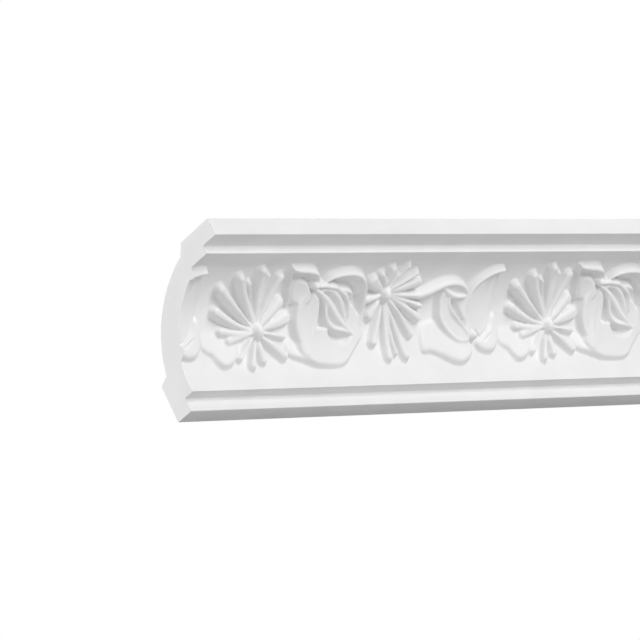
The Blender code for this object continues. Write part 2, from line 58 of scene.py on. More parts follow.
# Front profile, from the ceiling down to the cove
TOP_LIP = 0.0108
TOP_LEDGE = 0.0115
SECOND_LIP = 0.0050
SECOND_LEDGE = 0.0130
COVE_RADIUS = 0.055

# Front profile, from the cove down to the bottom edge
BOTTOM_LEDGE = 0.0070
BOTTOM_LIP = 0.0120
BOTTOM_BAND = 0.0085

# Back of the piece
WALL_PAD = 0.02355
CEILING_PAD = 0.0247
CASTING_THICKNESS = 0.013
BACK_FOOT_OUT = 0.0065
BACK_FOOT_UP = 0.00275
BACK_HEAD_IN = 0.0050
BACK_HEAD_DOWN = 0.0064
BACK_STEPS = 64

# The carving is drawn flat, in millimetres, on one repeat of the cove rolled out.
# u runs along the length and s down the cove from its top corner, negative on the ledge above.
DRAWING_LENGTH = 252.0
DRAWING_GIRTH = 75.0
RELIEF = 0.001              # metres of relief for each millimetre of height in the drawing
CARVING_LAP = 0.006         # strip of the ledge above the cove that the petal heads run onto

# How the drawn forms meet, in millimetres of the drawing
JOIN = 0.2                  # size of the small fillet where one form rises from another
LEAF_JOIN = 0.3             # the same round a leaf
NARROWEST = 0.1             # least half width of a rib or furrow
FORM_MARGIN = 1             # how far round a form the surface is read

# Petals of the daisies, in millimetres of the drawing
PETAL_ROOT_AWAY = 3.0       # from the middle of the boss to a petal's root
PETAL_ROOT_WIDTH = 0.9      # half width at the root
PETAL_ROOT_HEIGHT = 3.4
PETAL_WAIST = 0.72          # half width halfway along, as a share of the tip's
PETAL_FULLNESS = 2.3        # 2 is a round section and more is flatter on top
PETAL_DISH = 0.05           # hollow of the crest for each millimetre of half width
BOSS = (4.1, 6.1, 7.5)      # half width, half length and height

# Fineness of the visible surface
GRID = 0.0005               # spacing of the points that the carving is read at
SOFTENING = 0.55            # millimetres over which the cast edges are softened
FACET_BUDGET = 185000       # triangles left in the whole cove
CURVE_STEPS = 10            # short lines between two points of a drawn curve
END_MARGIN_CELLS = 3        # grid cells that are made beyond each end and cut off
SHARP_ANGLE = math.radians(50)
CUT_TOLERANCE = 1e-6        # how near a cut a point counts as lying on it, in metres
FILL_INSIDE = 1             # the triangulation keeps only what lies inside the outline
FILL_EPSILON = 1e-9
ARRIS = 0.0005              # how far the rounding of a cast corner reaches along its two sides
ARRIS_STEPS = 3
ARRIS_ROOM = 3              # a side shorter than this many arrises keeps its corners
SQUARE_ENOUGH = 0.7         # sine of the turn above which a corner is rounded

# Primer: its darkest and lightest white, the size of its mottling and the grain of its surface
PRIMER_DARK = (0.815, 0.815, 0.812, 1)
PRIMER_LIGHT = (0.845, 0.845, 0.843, 1)
PRIMER_ROUGHNESS = 0.62
PRIMER_SPECULAR = 0.35
MOTTLE = (38, 4)            # scale and detail of a noise
SWELL = (160, 2)
TOOTH = (1400, 3)
SWELL_BUMP = (0.12, 0.0004)     # strength, and height in metres
TOOTH_BUMP = (0.10, 0.0002)

# Studio lights: name, direction about the view (right, above, towards the camera), distance in metres
# and power in watts. The near one behind the piece lights its back and little of the floor.
SOFTBOX_SPREAD = 2 / 3      # width of a light for each metre of its distance
SOFTBOXES = [
    ("key", 0.7, 0.7, 0.5, 2.4, 52),
    ("side", -1.0, 0.0, 0.3, 2.4, 33),
    ("upper_left", -0.7, 0.7, 0.5, 2.4, 10),
    ("front", -0.35, 0.0, 0.9, 2.4, 9),
    ("rear", 0.2, 0.7, -1.0, 0.9, 5),
]

# The photograph's view. The piece is laid back, turned and slightly rolled in front of the camera.
TURN = math.radians(47)
LAID_BACK = math.radians(32.2074)
ROLL = math.radians(1.11286)
FOCAL_PIXELS = 5305.16
FRAME_PIXELS = 640
SENSOR = 36.0
NEAR_CLIP = 0.05
FAR_CLIP = 50
# The left end's corner between wall and ceiling, right of, above and in front of the lens, in metres
CORNER_IN_VIEW = Vector((-0.112142, 0.011666, 2.980451))

# Backdrop and floor
BACKDROP = 1.0              # brightness of the white backdrop, which casts no light
FLOOR_DEPTH = 1.3           # from the foot of the piece down to the floor
FLOOR_SIZE = 9
FLOOR_PAINT = (0.8, 0.8, 0.8, 1)
FLOOR_ROUGHNESS = 0.9


def smooth_curve(points, closed=False):
    """Points along a smooth line through the given rows, which may carry widths and heights too."""
    rows = np.asarray(points, float)
    if closed:
        rows = np.vstack([rows[-1:], rows, rows[:2]])
    else:
        rows = np.vstack([2 * rows[0] - rows[1], rows, 2 * rows[-1] - rows[-2]])
    t = (np.arange(CURVE_STEPS) / CURVE_STEPS)[:, None]
    pieces = []
    for a, b, c, d in zip(rows, rows[1:], rows[2:], rows[3:]):
        bend = (2 * a - 5 * b + 4 * c - d) * t ** 2 + (3 * b - a - 3 * c + d) * t ** 3
        pieces.append(0.5 * (2 * b + (c - a) * t + bend))
    if not closed:
        pieces.append(rows[-2:-1])
    return np.vstack(pieces)


def nearest_on_line(u, s, start, end):
    """Share along the straight line from start to end, and the offset from it, for each point."""
    run = end[:2] - start[:2]
    share = ((u - start[0]) * run[0] + (s - start[1]) * run[1]) / max(run @ run, 1e-9)
    share = np.clip(share, 0, 1)
    return share, u - start[0] - run[0] * share, s - start[1] - run[1] * share


class Relief:
    """Heights of one repeat of the carving, in millimetres, on a grid over its flat drawing."""

    def __init__(self, columns, s):
        self.u = np.arange(columns) * DRAWING_LENGTH / columns
        self.s = s
        self.height = np.zeros((len(s), columns))

    def windows(self, low, high):
        """The stretches of the grid between two corners, with the repeats to the left and right."""
        for shift in (-DRAWING_LENGTH, 0, DRAWING_LENGTH):
            first, last = np.searchsorted(self.u, [low[0] + shift, high[0] + shift])
            top, bottom = np.searchsorted(self.s, [low[1], high[1]])
            if last > first and bottom > top:
                u, s = np.meshgrid(self.u[first:last] - shift, self.s[top:bottom])
                yield (slice(top, bottom), slice(first, last)), u, s

    def raise_to(self, window, height, inside, blend):
        """Lift the surface to a form where the form is higher, with a small fillet between them."""
        here = self.height[window]
        share = np.clip(0.5 + 0.5 * (height - here) / blend, 0, 1)
        fillet = blend * share * (1 - share) * np.clip(2 * height, 0, 1)
        self.height[window] = np.where(inside, here * (1 - share) + height * share + fillet, here)

    def across(self, rows, u, s):
        """Distance over half width, and height, from a smooth line of (u, s, half width, height)."""
        nearest = np.full(u.shape, np.inf)
        height = np.zeros(u.shape)
        line = smooth_curve(rows)
        for start, end in zip(line, line[1:]):
            share, du, ds = nearest_on_line(u, s, start, end)
            width = np.maximum(start[2] + (end[2] - start[2]) * share, NARROWEST)
            distance = np.hypot(du, ds) / width
            closer = distance < nearest
            nearest[closer] = distance[closer]
            height[closer] = (start[3] + (end[3] - start[3]) * share)[closer]
        return nearest, height

    def line_windows(self, rows):
        """The stretches of the grid that a line of (u, s, half width, ...) can reach."""
        rows = np.asarray(rows, float)
        reach = rows[:, 2].max() + FORM_MARGIN
        return self.windows(rows[:, :2].min(axis=0) - reach, rows[:, :2].max(axis=0) + reach)

    def rib(self, *rows, fullness=2.0, dish=0.0, blend=JOIN):
        """A raised rib along rows of (u, s, half width, height); dish hollows its crest."""
        for window, u, s in self.line_windows(rows):
            distance, height = self.across(rows, u, s)
            inside = distance < 1
            distance = np.minimum(distance, 1)
            dome = np.sqrt(1 - distance ** fullness) * (1 - dish * (1 - distance ** 2))
            self.raise_to(window, height * dome, inside, blend)

    def furrow(self, *rows):
        """A rounded hollow along rows of (u, s, half width, depth)."""
        for window, u, s in self.line_windows(rows):
            distance, depth = self.across(rows, u, s)
            cut = depth * (1 - np.minimum(distance, 1) ** 2)
            self.height[window] = np.maximum(self.height[window] - cut, 0)

    def knob(self, u, s, width, length, height):
        """A domed oval boss, with its half width along the piece and its half length down the cove."""
        for window, uu, ss in self.windows((u - width, s - length), (u + width, s + length)):
            distance = np.hypot((uu - u) / width, (ss - s) / length)
            inside = distance < 1
            self.raise_to(window, height * np.sqrt(1 - np.minimum(distance, 1) ** 2), inside, JOIN)

    def leaf(self, *outline, height, slope=(0, 0), edge=2.0, blend=LEAF_JOIN):
        """A raised leaf inside a smooth closed outline, rounded over its edge.

        slope is the rise for each millimetre along u and s.
        """
        ring = smooth_curve(outline, closed=True)
        middle = np.mean(outline, axis=0)
        for window, u, s in self.windows(ring.min(axis=0) - FORM_MARGIN, ring.max(axis=0) + FORM_MARGIN):
            rim = np.full(u.shape, np.inf)
            inside = np.zeros(u.shape, bool)
            for start, end in zip(ring, np.roll(ring, -1, axis=0)):
                share, du, ds = nearest_on_line(u, s, start, end)
                rim = np.minimum(rim, np.hypot(du, ds))
                if start[1] != end[1]:
                    crossing = start[0] + (s - start[1]) * (end[0] - start[0]) / (end[1] - start[1])
                    inside ^= ((start[1] > s) != (end[1] > s)) & (u < crossing)
            form = height + slope[0] * (u - middle[0]) + slope[1] * (s - middle[1])
            rounding = np.sqrt(1 - np.clip(1 - rim / edge, 0, 1) ** 2)
            self.raise_to(window, form * rounding, inside, blend)

    def soften(self, distance):
        """Blur the heights a little, as a cast surface is, without lifting the two long edges."""
        spacing = DRAWING_LENGTH / len(self.u)
        reach = int(math.ceil(3 * distance / spacing))
        steps = np.arange(-reach, reach + 1)
        weights = np.exp(-0.5 * (steps * spacing / distance) ** 2)
        weights /= weights.sum()
        along = sum(w * np.roll(self.height, k, axis=1) for w, k in zip(weights, steps))
        padded = np.pad(along, ((reach, reach), (0, 0)), mode="edge")
        rows = len(self.s)
        down = sum(w * padded[reach + k:reach + k + rows] for w, k in zip(weights, steps))
        self.height = down
        self.height[0] = 0
        self.height[-1] = 0


def daisy(relief, centre, petals):
    """A daisy: petals from the boss to round tips given as (u, s, half width, height, bend)."""
    middle = np.array(centre)
    for u, s, width, height, bend in petals:
        run = np.array([u, s]) - middle
        away = run / np.hypot(*run)
        side = np.array([-away[1], away[0]])
        root = middle + PETAL_ROOT_AWAY * away
        waist = middle + run / 2 + bend * side
        relief.rib((*root, PETAL_ROOT_WIDTH, PETAL_ROOT_HEIGHT), (*waist, PETAL_WAIST * width, height),
                   (u, s, width, height), fullness=PETAL_FULLNESS, dish=PETAL_DISH * width)
    relief.knob(*centre, *BOSS)


def first_daisy(relief):
    """The daisy at the left, with its petals named for their side of the boss."""
    left = [(28, 14.6, 3.5, 6, 0), (27.6, 28.3, 3.4, 5.6, -1.8), (33.2, 40, 3, 4.6, -1.2),
            (38.8, 45.4, 3, 4.4, 0)]
    upper = [(40.8, 7.4, 3.4, 6, 0), (49.4, 10.4, 1.5, 5.2, 0), (56, 2, 3.1, 5.6, 0),
             (61.3, 4.6, 1.9, 5.4, 0), (72.8, 7.2, 3.6, 5.4, 0)]
    right = [(78, 23.2, 4.2, 5.6, 0), (85, 32.8, 4.6, 5.4, 0), (84, 43.6, 2, 4.2, 0),
             (81.6, 54.8, 3.6, 5.5, 0)]
    lower = [(63.8, 57.4, 3.2, 5, 0), (54.3, 61, 2.7, 4.6, 0), (45.5, 56.2, 2.1, 4.6, 0)]
    daisy(relief, (61.5, 40.6), left + upper + right + lower)


def second_daisy(relief):
    """The daisy to the right of the bell flower."""
    left = [(152.4, 10.6, 4.6, 5.6, 0), (151.6, 22.4, 3.3, 5.2, 0), (156.6, 31.8, 3.9, 4.6, 0),
            (158.4, 48.2, 3.2, 5.3, -1)]
    lower = [(169.6, 57.4, 3.2, 4.8, -1.3), (175.8, 55.4, 1.9, 4.4, -1.2), (184, 57, 3.2, 5, -1.7)]
    right = [(191, 43.6, 2.8, 4.8, -1.6), (198, 33.8, 3, 4.8, -0.6), (198.4, 26.4, 2.2, 4.8, 0),
             (199, 20, 2.9, 5.2, 0), (191.2, 11.2, 4, 5.2, 0)]
    upper = [(186.8, 4.2, 2.2, 4.8, 0), (176.6, -1.8, 1.9, 4.2, 0), (171.4, 5.6, 1.4, 4.4, 0),
             (164.8, 1.4, 3.1, 5.4, 0), (157.6, 5.4, 2.7, 5.3, 1.2)]
    daisy(relief, (165.4, 18.6), left + lower + right + upper)


def low_leaf(relief):
    """The two-lobed leaf to the lower left of the first daisy."""
    relief.leaf((14.5, 41), (16.5, 47), (19.5, 51.5), (24.5, 54.2), (26.8, 57.6), (29.2, 60.8),
                (32.5, 61.9), (36, 61.3), (40, 59.3), (43, 56.4), (48, 51.1), (47, 41), (30, 38.5),
                height=2.6, slope=(0, 0.21), edge=3.4)


def cup_and_bud(relief):
    """The broad cup of the flower with the small leaf at its foot, and the fluted bud in front."""
    relief.leaf((94, 53), (100.1, 58.9), (104.1, 61), (109, 62.3), (119, 62.8), (128, 62.3),
                (134.5, 59.5), (141.2, 53.5), (146.4, 48.8), (151, 43.6), (149, 37), (145, 38),
                (135.4, 46.9), (126.4, 46.9), (121, 43.5), (119, 38.8), (111, 38.2), (101, 38.4),
                (95, 44), height=3.8, slope=(-0.055, -0.05), edge=2)
    relief.leaf((130, 27), (138, 24), (145, 29), (148.5, 38), (143.5, 44.5), (135, 42),
                height=2.8, edge=2)
    relief.leaf((85.3, 51.5), (87.2, 55.4), (95.6, 58.2), (103, 59.7), (103.2, 53.3), (97.4, 45.9),
                (88, 44), height=2.6, slope=(0, 0.26), edge=3.2)
    relief.leaf((94.5, 16.5), (91.2, 24), (90.4, 31), (90.8, 38), (92.6, 45), (96, 51.5), (99.8, 59.7),
                (102.4, 56.5), (106, 48), (109.8, 39.6), (111.4, 31.4), (111, 22.4), (106, 17), (100, 15),
                height=5.4, slope=(-0.02, 0), edge=2.2)
    relief.furrow((98.5, 24.4, 1.6, 0.2), (98.4, 38.6, 1.8, 0.45), (100.5, 53.3, 1.2, 0.2))
    relief.furrow((105.5, 24.4, 1.6, 0.2), (105.2, 36.5, 1.8, 0.45), (102.8, 51.1, 1.2, 0.2))


def collar(relief):
    """The folded collar over the bud: its hollow, the tongue in it, its left rim and its top."""
    relief.leaf((80, 3.1), (100.5, 3.1), (105, 9.7), (106, 17.5), (100, 20), (92, 22), (87, 22.4),
                (83.2, 14.5), height=1.2, edge=1)
    relief.leaf((86, 9.4), (91.5, 7.8), (95.2, 9), (98.2, 12.2), (100.6, 16), (101.8, 20.4), (99, 24),
                (93, 24.6), (88, 23), (85.8, 16), height=4.8, slope=(0.24, 0), edge=2)
    relief.rib((79.2, -1, 1, 4.2), (80.3, 3, 1, 4.5), (81.8, 9, 1.1, 4.6), (83.2, 15, 1.1, 4.6),
               (84.6, 20, 1.1, 4.6), (86.6, 23.6, 1.2, 4.4))
    relief.rib((80.6, 0.4, 2, 4.6), (83.4, 1, 2.6, 5), (88.5, 1.3, 2.9, 5.4), (95, 1.6, 2.9, 5.8),
               (99.2, 3, 2.6, 6), (101.8, 6, 2.3, 6.2), (103, 9.4, 2.2, 6.4))


def turned_petal(relief):
    """The petal that arches over the stamens and runs down on their right."""
    relief.rib((112.4, 9.2, 1.4, 4.8), (116.5, 5.9, 2, 5.2), (124.5, 3.8, 2.5, 5.6),
               (133.5, 3.9, 2.8, 5.8), (140.8, 7.4, 2.9, 6), (144.8, 13, 2.8, 6), (146.9, 20.4, 2.6, 5.8),
               (147.9, 28.4, 2.4, 5), (147.7, 37, 2.2, 3.6), blend=0.6)
    relief.rib((115.4, 8.6, 1.6, 2), (120.4, 6.7, 2.8, 2.7), (127.5, 5.9, 3.8, 3.2), (134.4, 7, 3.8, 3.4),
               (139.6, 11, 3.2, 3.6), (142.8, 17, 2.6, 3.2), blend=1.8)


def stamens(relief):
    """The four stamens on a low bed, the tip beside the first one, and the knob that they spring from."""
    relief.leaf((108, 13.5), (118, 11), (126, 13), (132, 18), (135, 28), (137, 36), (142, 43), (133, 43),
                (124.5, 40.5), (119, 36.5), (115.5, 28), (111, 20.5), height=3.1, edge=1.4)
    relief.rib((126, 14.6, 1.8, 4.8), (131.5, 15.6, 2.3, 5.1), (135.2, 17.4, 2.3, 5),
               (136.6, 20.4, 1.9, 4.6))
    relief.rib((105.6, 12.1, 2, 5.8), (111.4, 12, 2.5, 5.8), (115.7, 12.5, 2.6, 5.8), (120, 13, 2.6, 5.8),
               (123.9, 14.8, 2.5, 5.6), (127.8, 17, 2.4, 5.6), (131.3, 19.2, 2.3, 5.5),
               (133.8, 22.4, 2.2, 5.3), (135.4, 26.8, 2, 4.9), (136.4, 31.5, 1.8, 4.2))
    relief.rib((110, 15, 1.7, 5.2), (114.4, 15, 2.2, 5.3), (118.6, 15.8, 2.7, 5.4), (122.4, 18.1, 3, 5.5),
               (125.6, 20.8, 3, 5.5), (128.2, 24, 3, 5.4), (130.2, 27.4, 2.8, 5.3), (131.8, 30.8, 2.5, 5),
               (133.8, 34.4, 2.1, 4.6), (136.6, 38, 1.7, 4))
    relief.rib((104.4, 14.6, 2, 5.8), (108.6, 16.8, 2.3, 5.9), (113.4, 20, 2.8, 6.1),
               (118, 24.2, 3.4, 6.3), (121.9, 28.4, 3.7, 6.4), (125.9, 32.6, 3.6, 6.3),
               (129.6, 36, 3.2, 6), (133.6, 38.6, 2.6, 5.3), (138.2, 40.8, 1.9, 4.2))
    relief.rib((108.2, 17.4, 1.6, 5.2), (112, 20.6, 1.9, 5.4), (114.8, 25, 2.2, 5.6),
               (116.6, 30.4, 2.3, 5.7), (118.2, 34.8, 2.5, 5.8), (121, 38, 2.6, 5.9),
               (125, 39.8, 2.5, 5.9), (129.6, 40.6, 2.4, 5.8), (134.2, 41.4, 2.1, 5.1),
               (138.5, 42, 1.7, 4.2), (142, 42.8, 1.3, 3))
    relief.knob(101.8, 11, 3.7, 3.8, 8.2)


def bell_flower(relief):
    """The flower seen from the side between the daisies."""
    cup_and_bud(relief)
    collar(relief)
    turned_petal(relief)
    stamens(relief)


def turned_leaf(relief):
    """The leaf that folds over to the right of the second daisy."""
    relief.leaf((200.2, 46), (200.7, 54.6), (208.2, 55.4), (215.6, 58.1), (221.6, 61), (226.5, 62.8),
                (232, 63.2), (238.1, 61), (243.2, 56.5), (244.3, 50.1), (233.5, 43.8), (220.6, 36.6),
                (211.6, 35.5), (202.5, 38), height=3.1, slope=(0.01, 0.12), edge=3.6)
    relief.leaf((213.2, 17.4), (213, 27.4), (213.7, 33.4), (216.6, 39.1), (221, 43.6), (225.9, 47.4),
                (230.8, 50), (237.8, 50.6), (241.9, 49), (241, 44.8), (237.6, 41), (232.7, 36.5),
                (227.8, 32.7), (223.8, 29.4), (221.8, 25.4), (220.9, 17.4), height=4.1, slope=(0, -0.03),
                edge=1.6)
    relief.rib((214.9, 24.4, 1.6, 4.8), (215.8, 33.4, 2, 4.9), (220.4, 40, 2.2, 4.8),
               (226.4, 45.4, 2.2, 4.5), (232.4, 48.4, 2, 4.2), (239.4, 48.6, 1.6, 4), blend=1)
    relief.rib((221.1, 20.4, 1.7, 5.2), (222.1, 25.7, 2, 5.6), (224.7, 30, 2.3, 5.8),
               (228.6, 33.6, 2.3, 5.8), (232.6, 36.8, 2.2, 5.6), (236.5, 40.4, 2, 5.2),
               (240.2, 44.8, 1.7, 4.8), blend=0.8)
    relief.leaf((226.6, 20.4), (239.6, 19.9), (239.9, 28.4), (239.9, 35.5), (237.7, 35), (233.8, 30.4),
                (230.2, 26.7), height=2.8, edge=1.6)
    relief.leaf((212, 13), (222, 10), (230, 11), (236, 15), (237.6, 19.6), (230, 20.4), (220, 18.6),
                height=4, edge=1.6)
    relief.rib((197.1, 19.2, 2.8, 4.8), (202.2, 17.9, 3.7, 5.2), (208.8, 14.8, 3.6, 5.6),
               (214.3, 12.3, 3.2, 5.8), (221.5, 11.3, 3, 5.8), (227.8, 12.3, 2.9, 5.8),
               (233.2, 15, 2.7, 5.6), (236.3, 18.6, 2.1, 5.2))
    relief.rib((213.3, 14, 2.4, 5.4), (218, 17.2, 3, 5.7), (223.5, 19.8, 3.2, 5.8), (230.1, 20.6, 3, 5.6),
               (235.4, 20, 2.2, 5.2))


def upright_leaf(relief):
    """The tall dished leaf with a rolled rim, its small lower lobe and the bud at its foot."""
    relief.leaf((239.5, 43.8), (239.9, 25.4), (240.4, 16), (246, 9), (254, 4.6), (262, 2.6),
                (263.5, 10.7), (264.5, 20.4), (264, 30.4), (261, 40.6), (251.4, 46.9), height=2.4,
                slope=(-0.09, 0), edge=1.4)
    relief.rib((243.3, 43.8, 1.2, 4.2), (241.2, 35.5, 1.3, 4.2), (240.1, 25.4, 1.5, 4.4),
               (240.6, 18, 1.7, 4.5), (243, 12.8, 1.9, 4.6), (246.6, 9.2, 2.1, 4.7), (251, 5.8, 2.2, 4.8),
               (256, 3.2, 2.2, 4.9), (260.6, 2.2, 2.1, 4.9), (262, 2.1, 2, 4.9), blend=1)
    relief.furrow((249.5, 9, 0.9, 0.2), (249.4, 11.5, 1.2, 0.8), (248.4, 15, 0.9, 0.2))
    relief.furrow((258.5, 6.5, 0.9, 0.3), (257.8, 11, 1.3, 1), (256.7, 17.5, 0.9, 0.2))
    relief.leaf((248.2, 48.5), (248.3, 51.7), (249.9, 53.8), (253.2, 55.6), (257.2, 56.3), (261.2, 56),
                (265.2, 53.5), (268.4, 49), (269.6, 42.7), (268.6, 35.5), (265.4, 31.6), (262, 33.4),
                (260.1, 39.6), (253.5, 44.8), height=3.5, slope=(0, 0.04), edge=3.4)
    relief.furrow((248, 42.2, 0.9, 1), (250.3, 45, 1, 1.5), (252.8, 46.7, 1, 1.6), (256.5, 44, 0.9, 1.4),
                  (259.5, 41.7, 0.7, 0.6))
    relief.furrow((253.4, 49, 0.9, 0.6), (256.9, 47.8, 1, 1.1), (261, 44.6, 0.8, 0.6))
    relief.knob(244.9, 45.6, 3.5, 3.6, 6.4)


def carve(columns, downs):
    """Heights in metres over one repeat, at the given ways down the cove and columns along it."""
    relief = Relief(columns, downs * DRAWING_GIRTH / COVE_GIRTH)
    low_leaf(relief)
    bell_flower(relief)
    first_daisy(relief)
    second_daisy(relief)
    turned_leaf(relief)
    upright_leaf(relief)
    relief.soften(SOFTENING)
    return relief.height * RELIEF


def arc_centre(start, end, radius):
    """Centre of the arc of a given radius from start to end, on the room side of the line."""
    start = np.array(start)
    end = np.array(end)
    chord = end - start
    span = np.hypot(*chord)
    across = np.array([-chord[1], chord[0]]) / span
    return (start + end) / 2 + across * math.sqrt(radius ** 2 - span ** 2 / 4)


def arc_angles(centre, start, end):
    """Angles of the start and the end of an arc about its centre, the second one larger."""
    first = math.atan2(start[1] - centre[1], start[0] - centre[0])
    last = math.atan2(end[1] - centre[1], end[0] - centre[0])
    return first, last % (2 * math.pi)


# Corners of the profile as (distance out from the wall, height), with the ceiling at height 0
COVE_TOP = (PROJECTION - TOP_LEDGE - SECOND_LEDGE, -TOP_LIP - SECOND_LIP)
COVE_FOOT = (BOTTOM_LIP + BOTTOM_LEDGE, BOTTOM_BAND - HEIGHT)
COVE_CENTRE = arc_centre(COVE_TOP, COVE_FOOT, COVE_RADIUS)
COVE_START, COVE_END = arc_angles(COVE_CENTRE, COVE_TOP, COVE_FOOT)
COVE_GIRTH = COVE_RADIUS * (COVE_END - COVE_START)


def place(x, out, height):
    """World place of a profile point: the origin is the middle of the face on the wall."""
    return x, -out, height + HEIGHT - WALL_PAD / 2


def cove_places(x, downs, relief):
    """World places down the cove at one x, raised off it by relief.

    Negative ways down are on the ledge above the cove. There the relief turns to stand straight down.
    """
    angle = COVE_START + np.maximum(downs, 0) / COVE_RADIUS
    lean = angle + (math.pi / 2 - angle) * np.clip(-2 * downs / CARVING_LAP, 0, 1)
    out = COVE_CENTRE[0] + COVE_RADIUS * np.cos(angle) - np.minimum(downs, 0) - relief * np.cos(lean)
    height = COVE_CENTRE[1] + COVE_RADIUS * np.sin(angle) - relief * np.sin(lean)
    return np.column_stack([np.full(len(downs), x), -out, height + HEIGHT - WALL_PAD / 2])


def sheet_rows():
    """Ways down the cove at which the carving is read, from the ledge to the cove's foot."""
    on_ledge = np.linspace(-CARVING_LAP, 0, round(CARVING_LAP / GRID) + 1)
    return np.concatenate([on_ledge[:-1], np.linspace(0, COVE_GIRTH, round(COVE_GIRTH / GRID) + 1)])


def rounded(points, before, after):
    """The profile with its corners rounded a little, apart from the slight ones."""
    result = []
    for last, here, following in zip([before] + points[:-1], points, points[1:] + [after]):
        here = np.array(here)
        back = np.array(last) - here
        onward = np.array(following) - here
        back_run = np.hypot(*back)
        onward_run = np.hypot(*onward)
        turn = abs(back[0] * onward[1] - back[1] * onward[0]) / (back_run * onward_run)
        if turn < SQUARE_ENOUGH or min(back_run, onward_run) < ARRIS_ROOM * ARRIS:
            result.append(tuple(here))
            continue
        start = here + back / back_run * ARRIS
        end = here + onward / onward_run * ARRIS
        for share in np.linspace(0, 1, ARRIS_STEPS + 1):
            bend = (1 - share) ** 2 * start + 2 * share * (1 - share) * here + share ** 2 * end
            result.append(tuple(bend))
    return result


def back_profile():
    """Profile points from the ledge round the front, top, back and foot to the cove's foot."""
    first_step = PROJECTION - TOP_LEDGE
    front = [(first_step, COVE_TOP[1]), (first_step, -TOP_LIP), (PROJECTION, -TOP_LIP), (PROJECTION, 0)]
    inner_edge = PROJECTION - CEILING_PAD
    pad_top = WALL_PAD - HEIGHT
    head = (inner_edge - BACK_HEAD_IN, -BACK_HEAD_DOWN)
    foot = (BACK_FOOT_OUT, pad_top + BACK_FOOT_UP)
    radius = COVE_RADIUS + CASTING_THICKNESS
    centre = arc_centre(head, foot, radius)
    start, end = arc_angles(centre, head, foot)
    back = [(inner_edge, 0)]
    for angle in np.linspace(start, end, BACK_STEPS + 1):
        back.append((centre[0] + radius * math.cos(angle), centre[1] + radius * math.sin(angle)))
    low = [(0, pad_top), (0, -HEIGHT), (BOTTOM_LIP, -HEIGHT), (BOTTOM_LIP, COVE_FOOT[1])]
    return rounded(front + back + low, COVE_TOP, COVE_FOOT)


def carved_sheet():
    """A fine sheet of the carved cove, a little longer than the piece, as a mesh."""
    columns = round(REPEAT / GRID)
    downs = sheet_rows()
    rows = len(downs)
    heights = carve(columns, downs)
    spacing = REPEAT / columns
    count = math.ceil(LENGTH / spacing) + 2 * END_MARGIN_CELLS
    places = []
    for column in range(-END_MARGIN_CELLS, count - END_MARGIN_CELLS + 1):
        x = column * spacing - LENGTH / 2
        places.append(cove_places(x, downs, heights[:, column % columns]))
    corners = (np.arange(count)[:, None] * rows + np.arange(rows - 1)).ravel()
    faces = np.column_stack([corners, corners + 1, corners + rows + 1, corners + rows])
    mesh = bpy.data.meshes.new("carved_sheet")
    mesh.from_pydata(np.vstack(places).tolist(), [], faces.tolist())
    return mesh


def thinned(mesh, triangles):
    """The same surface with about the given number of triangles, most of them where it bends."""
    sheet = bpy.data.objects.new("sheet", mesh)
    bpy.context.scene.collection.objects.link(sheet)
    thin = sheet.modifiers.new("thin", "DECIMATE")
    thin.ratio = triangles / (2 * len(mesh.polygons))
    thin.use_collapse_triangulate = True
    evaluated = sheet.evaluated_get(bpy.context.evaluated_depsgraph_get())
    form = bmesh.new()
    form.from_mesh(evaluated.to_mesh())
    evaluated.to_mesh_clear()
    bpy.data.objects.remove(sheet)
    bpy.data.meshes.remove(mesh)
    return form


def square_ends(form):
    """Cut the sheet square at both ends."""
    for side in (-1, 1):
        everything = form.verts[:] + form.edges[:] + form.faces[:]
        bmesh.ops.bisect_plane(form, geom=everything, dist=CUT_TOLERANCE, clear_outer=True,
                               plane_co=(side * LENGTH / 2, 0, 0), plane_no=(side, 0, 0))


def border_loop(form, start):
    """All border vertices of the sheet in order, from start round to the vertex before it."""
    loop = [start]
    came_from = None
    while True:
        here = loop[-1]
        steps = [edge.other_vert(here) for edge in here.link_edges if edge.is_boundary]
        onward = [v for v in steps if v is not came_from]
        came_from = here
        if onward[0] is start:
            return loop
        loop.append(onward[0])


def border(form):
    """The sheet's border as four lists of vertices: left end, right end, top line and foot line."""
    verts = [v for v in form.verts if v.is_boundary]
    corners = []
    for side, down in ((-1, -CARVING_LAP), (1, -CARVING_LAP), (1, COVE_GIRTH), (-1, COVE_GIRTH)):
        spot = Vector(cove_places(side * LENGTH / 2, np.array([down]), 0)[0])
        corners.append(min(verts, key=lambda v: (v.co - spot).length))
    loop = border_loop(form, corners[0])
    if loop.index(corners[1]) > loop.index(corners[3]):
        loop = loop[:1] + loop[:0:-1]
    right_top, right_foot, left_foot = [loop.index(corner) for corner in corners[1:]]
    top = loop[:right_top + 1]
    right = loop[right_top:right_foot + 1]
    foot = loop[right_foot:left_foot + 1][::-1]
    left = (loop[left_foot:] + loop[:1])[::-1]
    for line, side in ((left, -1), (right, 1)):
        for v in line:
            v.co.x = side * LENGTH / 2
    top_spot = place(0, COVE_TOP[0] + CARVING_LAP, COVE_TOP[1])
    for line, spot in ((top, top_spot), (foot, place(0, *COVE_FOOT))):
        for v in line:
            v.co.y = spot[1]
            v.co.z = spot[2]
    return left, right, top, foot


def fill_flat(form, loop, flat):
    """Fill a flat loop of vertices with triangles; flat gives a vertex's two places in its plane."""
    points = [Vector(flat(v)) for v in loop]
    filled = delaunay_2d_cdt(points, [], [list(range(len(loop)))], FILL_INSIDE, FILL_EPSILON)
    triangles, sources = filled[2], filled[3]
    for triangle in triangles:
        form.faces.new([loop[sources[corner][0]] for corner in triangle])


